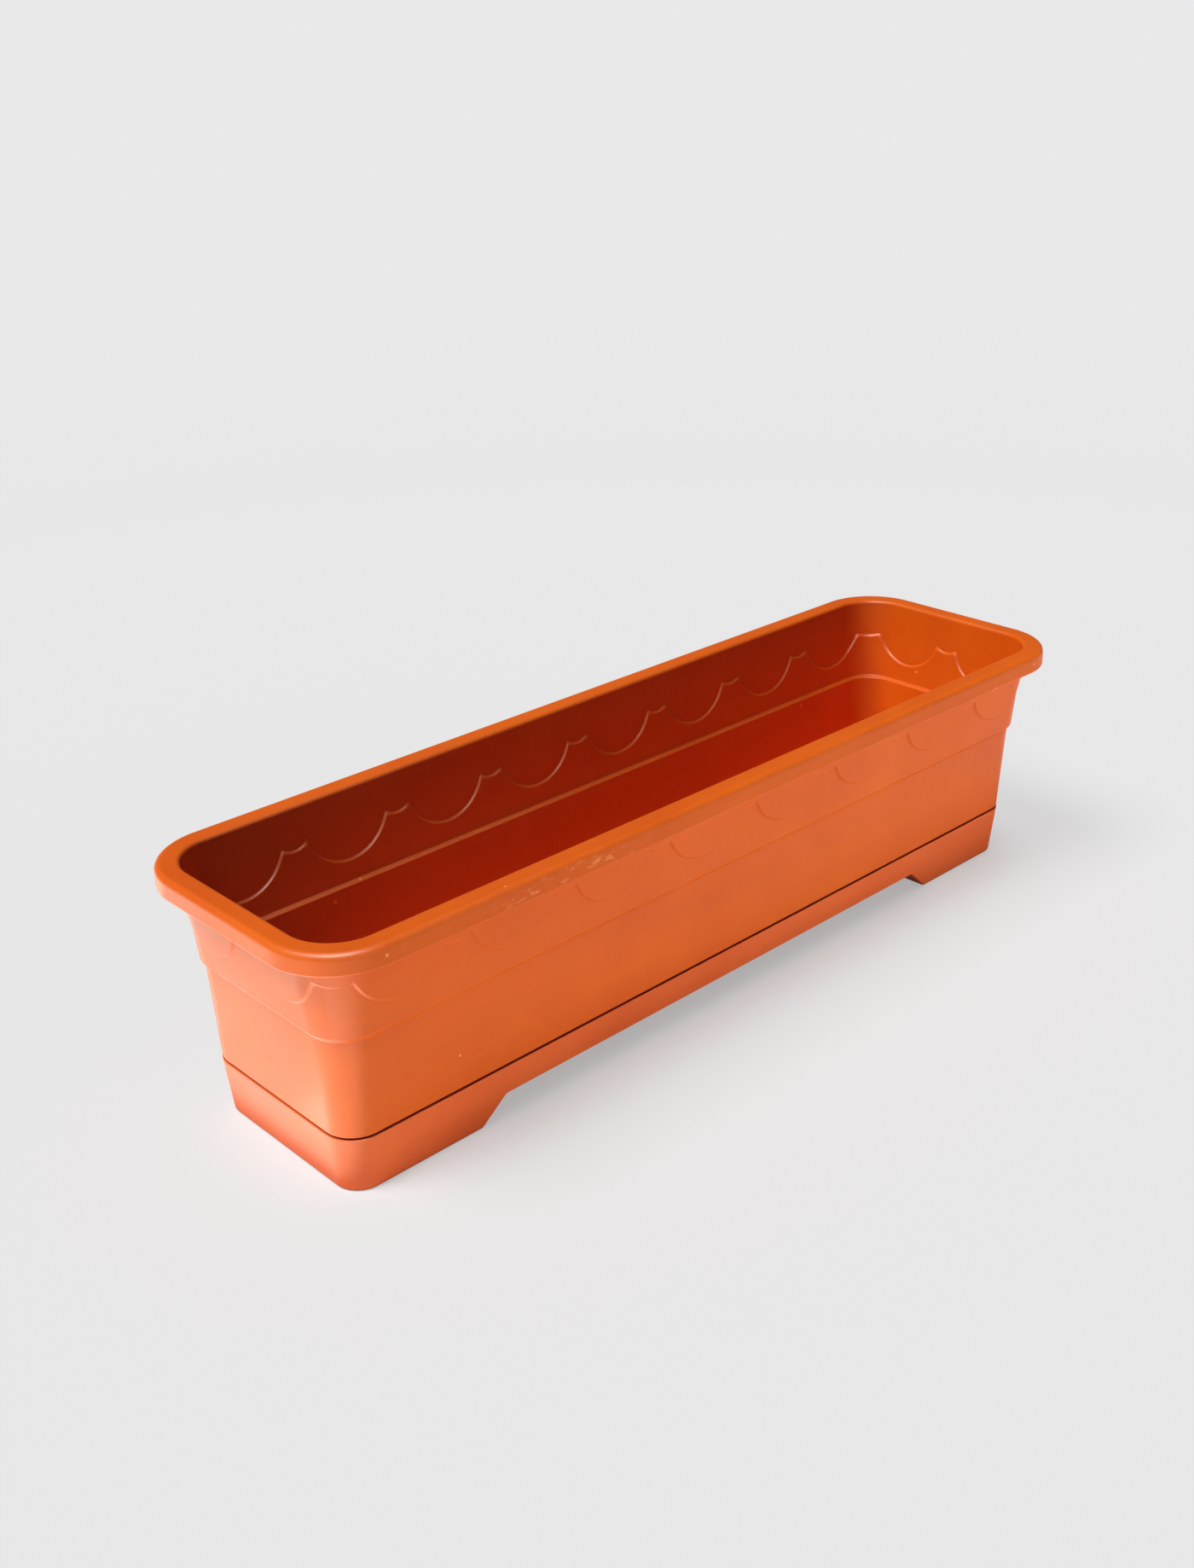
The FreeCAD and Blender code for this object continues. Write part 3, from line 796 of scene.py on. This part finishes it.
def terracottaPlastic(name, tones):
    material = bpy.data.materials.new(name)
    material.use_nodes = True
    tree = material.node_tree
    shader = tree.nodes["Principled BSDF"]
    place = add(tree, "ShaderNodeTexCoord", {}, outlet="Object")
    broad = noise(tree, place, surface["mottling"], detail=3.0)
    stretched = vector(tree, "MULTIPLY", place, surface["flowStretch"])
    flow = noise(tree, stretched, surface["flow"], detail=3.0)
    grain = noise(tree, place, surface["grain"])
    waves = noise(tree, place, surface["waves"], detail=1.0)

    broadPart, flowPart, grainPart = surface["tonePart"]
    mottled = broad * broadPart + flow * flowPart + grain * grainPart
    tone = ramp(tree, mottled, surface["toneLow"], surface["toneHigh"])
    pointed = Amount(tree, add(tree, "ShaderNodeNewGeometry", {}, outlet="Pointiness"))
    edge = ramp(tree, pointed, surface["edgeLow"], surface["edgeHigh"]) * surface["edgeShare"]
    dusty = dustAndMarks(tree, place) * surface["dustShare"]
    dusty = dusty.larger(scuffed(tree, place) * scuffs["share"])
    plain = blend(tree, tone, tones["deep"], tones["pale"])
    # painted shade: where nearby faces close a spot in, the colour darkens towards the shade tone
    paintedCreviceShade = openness(tree, tones["paintedCreviceShade"], samples=6)
    paintedCreviceShade = ramp(tree, paintedCreviceShade, surface["paintedShadeOpen"], surface["paintedShadeClosed"])
    colour = blend(tree, paintedCreviceShade * surface["paintedShadeShare"], plain, tones["shade"])
    # painted highlight: sharp convex edges are lightened towards the bright tone
    colour = blend(tree, edge, colour, tones["paintedHighlight"])
    colour = blend(tree, dusty, colour, tones["dusty"])
    tree.links.new(colour, shader.inputs["Base Color"])

    rough = ramp(tree, flow * 0.5 + grain * 0.5, *surface["roughSpread"],
                 surface["roughLow"], surface["roughHigh"])
    tree.links.new(rough.socket, shader.inputs["Roughness"])
    shader.inputs["Specular IOR Level"].default_value = surface["gloss"]
    height = waves * surface["waveShare"] + grain * surface["grainShare"]
    bump = add(tree, "ShaderNodeBump", {"Height": height, "Distance": mm, "Strength": 1.0})
    tree.links.new(bump, shader.inputs["Normal"])
    return material


troughPiece = buildTrough(terracottaPlastic("terracottaTrough", orange))
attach(troughPiece, "trough")
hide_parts("planter_trough")
trayPiece = buildTray(terracottaPlastic("terracottaTray", salmon))
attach(trayPiece, "tray")
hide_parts("drip_tray")
print("trough and tray built")

studio = {
    "eye": (-0.6562, -0.6502, 0.5366),
    "turn": (65.654, 1.1409, -43.574),
    "lens": 39.39,
    "sensor": 36,
    "floorHalf": 60.0,
    "floorColour": (0.80, 0.80, 0.80, 1),
    "backdropNear": 0.785,  # even brightness of the floor up to nearEdge from the middle
    "nearEdge": 0.3,
    "backdrop": 0.815,  # and from farEdge on
    "farEdge": 2.5,
    "horizon": 0.815,  # the world as the camera sees it, matched to the far floor
    "backdropShare": 0.84,  # share of that even brightness in the floor's look, in the open
    "contactShare": 0.5,  # and under the object
    "contact": 0.05,  # metres within which the object shades the floor in this way
    "contactDeep": 0.3,  # openness of the floor at which that share is the least, and the most
    "contactClear": 0.95,
    "evenFrom": 0.7,  # distance from the middle at which the floor starts to be all even, and is so
    "evenAll": 1.2,
    "backdropGloss": 0.12,  # how much of the backdrop shows in the plastic's gloss
    "skyGlow": 0.05,  # the world's light on the object
}


def addCamera():
    data = bpy.data.cameras.new("studioCamera")
    data.lens = studio["lens"]
    data.sensor_width = studio["sensor"]
    camera = bpy.data.objects.new("studioCamera", data)
    camera.location = studio["eye"]
    camera.rotation_euler = Euler([math.radians(angle) for angle in studio["turn"]])
    scene.collection.objects.link(camera)
    scene.camera = camera


def seenDirectly(tree):  # 1 for the camera's own rays and through clear things, a small share in gloss
    path = tree.nodes.new("ShaderNodeLightPath")
    camera, glossy, clear = (Amount(tree, path.outputs[f"Is {kind} Ray"]) for kind in (
        "Camera", "Glossy", "Transmission"))
    return camera.larger(glossy * studio["backdropGloss"]).larger(clear)


def addFloor():
    half = studio["floorHalf"]
    corners = [(-half, -half, 0), (half, -half, 0), (half, half, 0), (-half, half, 0)]
    floor = meshObject("studioFloor", corners, faces=[(0, 1, 2, 3)])
    material = bpy.data.materials.new("paleFloor")
    material.use_nodes = True
    tree = material.node_tree
    tree.nodes.remove(tree.nodes["Principled BSDF"])
    card = add(tree, "ShaderNodeBsdfDiffuse", {"Color": studio["floorColour"]})
    place = add(tree, "ShaderNodeTexCoord", {}, outlet="Object")
    away = length(tree, place)
    shine = ramp(tree, away, studio["nearEdge"], studio["farEdge"],
                 studio["backdropNear"], studio["backdrop"])
    glow = add(tree, "ShaderNodeEmission", {"Color": (1, 1, 1, 1), "Strength": shine})
    near = ramp(tree, openness(tree, studio["contact"], samples=8), studio["contactDeep"],
                studio["contactClear"], studio["contactShare"], studio["backdropShare"])
    share = seenDirectly(tree) * near.larger(ramp(tree, away, studio["evenFrom"], studio["evenAll"]))
    mixed = add(tree, "ShaderNodeMixShader", {0: share, 1: card, 2: glow})
    tree.links.new(mixed, tree.nodes["Material Output"].inputs["Surface"])
    floor.data.materials.append(material)


def addWorld():
    world = bpy.data.worlds.new("studio")
    scene.world = world
    world.use_nodes = True
    tree = world.node_tree
    strength = seenDirectly(tree) * (studio["horizon"] - studio["skyGlow"]) + studio["skyGlow"]
    tree.links.new(strength.socket, tree.nodes["Background"].inputs["Strength"])
    tree.nodes["Background"].inputs["Color"].default_value = (1, 1, 1, 1)


warmWhite = (1.0, 0.97, 0.84)
keyLight = {
    "heading": 17,  # degrees, from the left end towards the back
    "elevation": 60,
    "energy": 3.7,
    "angle": 26,
}
softboxes = {  # centre, turn in degrees, size, radiance, what it lights ("matt" or "gloss"), and tint
    "lowFrontFill": ((0.0, -1.6, 0.09), (90, 0, 0), (2.2, 0.16), 5.2, "matt"),
    "lowRightFill": ((1.0, -1.35, 0.09), (90, 0, 36.5), (2.2, 0.16), 5.8, "matt"),
    "leftFloorGloss": ((-0.591, 0.25, 0.002), (180, 0, 0), (0.62, 0.9), 4.8, "gloss", warmWhite),
    "cornerFloorGloss": ((-0.46, -0.09, 0.002), (180, 0, 0), (0.32, 0.22), 7.6, "gloss", warmWhite),
    "nearFloorGloss": ((-0.50, -0.40, 0.002), (180, 0, 0), (0.50, 0.40), 4.2, "gloss", warmWhite),
    "frontFloorBounce": ((0.15, -0.16, 0.002), (180, 0, 0), (0.90, 0.12), 0.7),
    "shoulderGloss": ((-0.75, -0.60, 1.6), (0, 0, 0), (0.9, 0.9), 65.0, "gloss"),
}


def addKey():
    data = bpy.data.lights.new("keyLight", "SUN")
    data.energy = keyLight["energy"]
    data.angle = math.radians(keyLight["angle"])
    lamp = bpy.data.objects.new("keyLight", data)
    turn = (90 - keyLight["elevation"], 0, -90 - keyLight["heading"])
    lamp.rotation_euler = Euler([math.radians(angle) for angle in turn])
    scene.collection.objects.link(lamp)


def addSoftbox(name, centre, turn, size, radiance, seenIn="both", tint=(1, 1, 1)):  # unseen by the camera
    data = bpy.data.lights.new(name, "AREA")
    data.shape = "RECTANGLE"
    data.size, data.size_y = size
    data.energy = radiance * math.pi * size[0] * size[1]
    data.color = tint
    lamp = bpy.data.objects.new(name, data)
    lamp.location = centre
    lamp.rotation_euler = Euler([math.radians(angle) for angle in turn])
    lamp.visible_camera = False
    lamp.visible_diffuse = seenIn != "gloss"
    lamp.visible_glossy = seenIn != "matt"
    scene.collection.objects.link(lamp)


def addLights():
    addWorld()
    addKey()
    for name, settings in softboxes.items():
        addSoftbox(name, *settings)


addCamera()
addFloor()
addLights()
scene.view_settings.view_transform = "Standard"
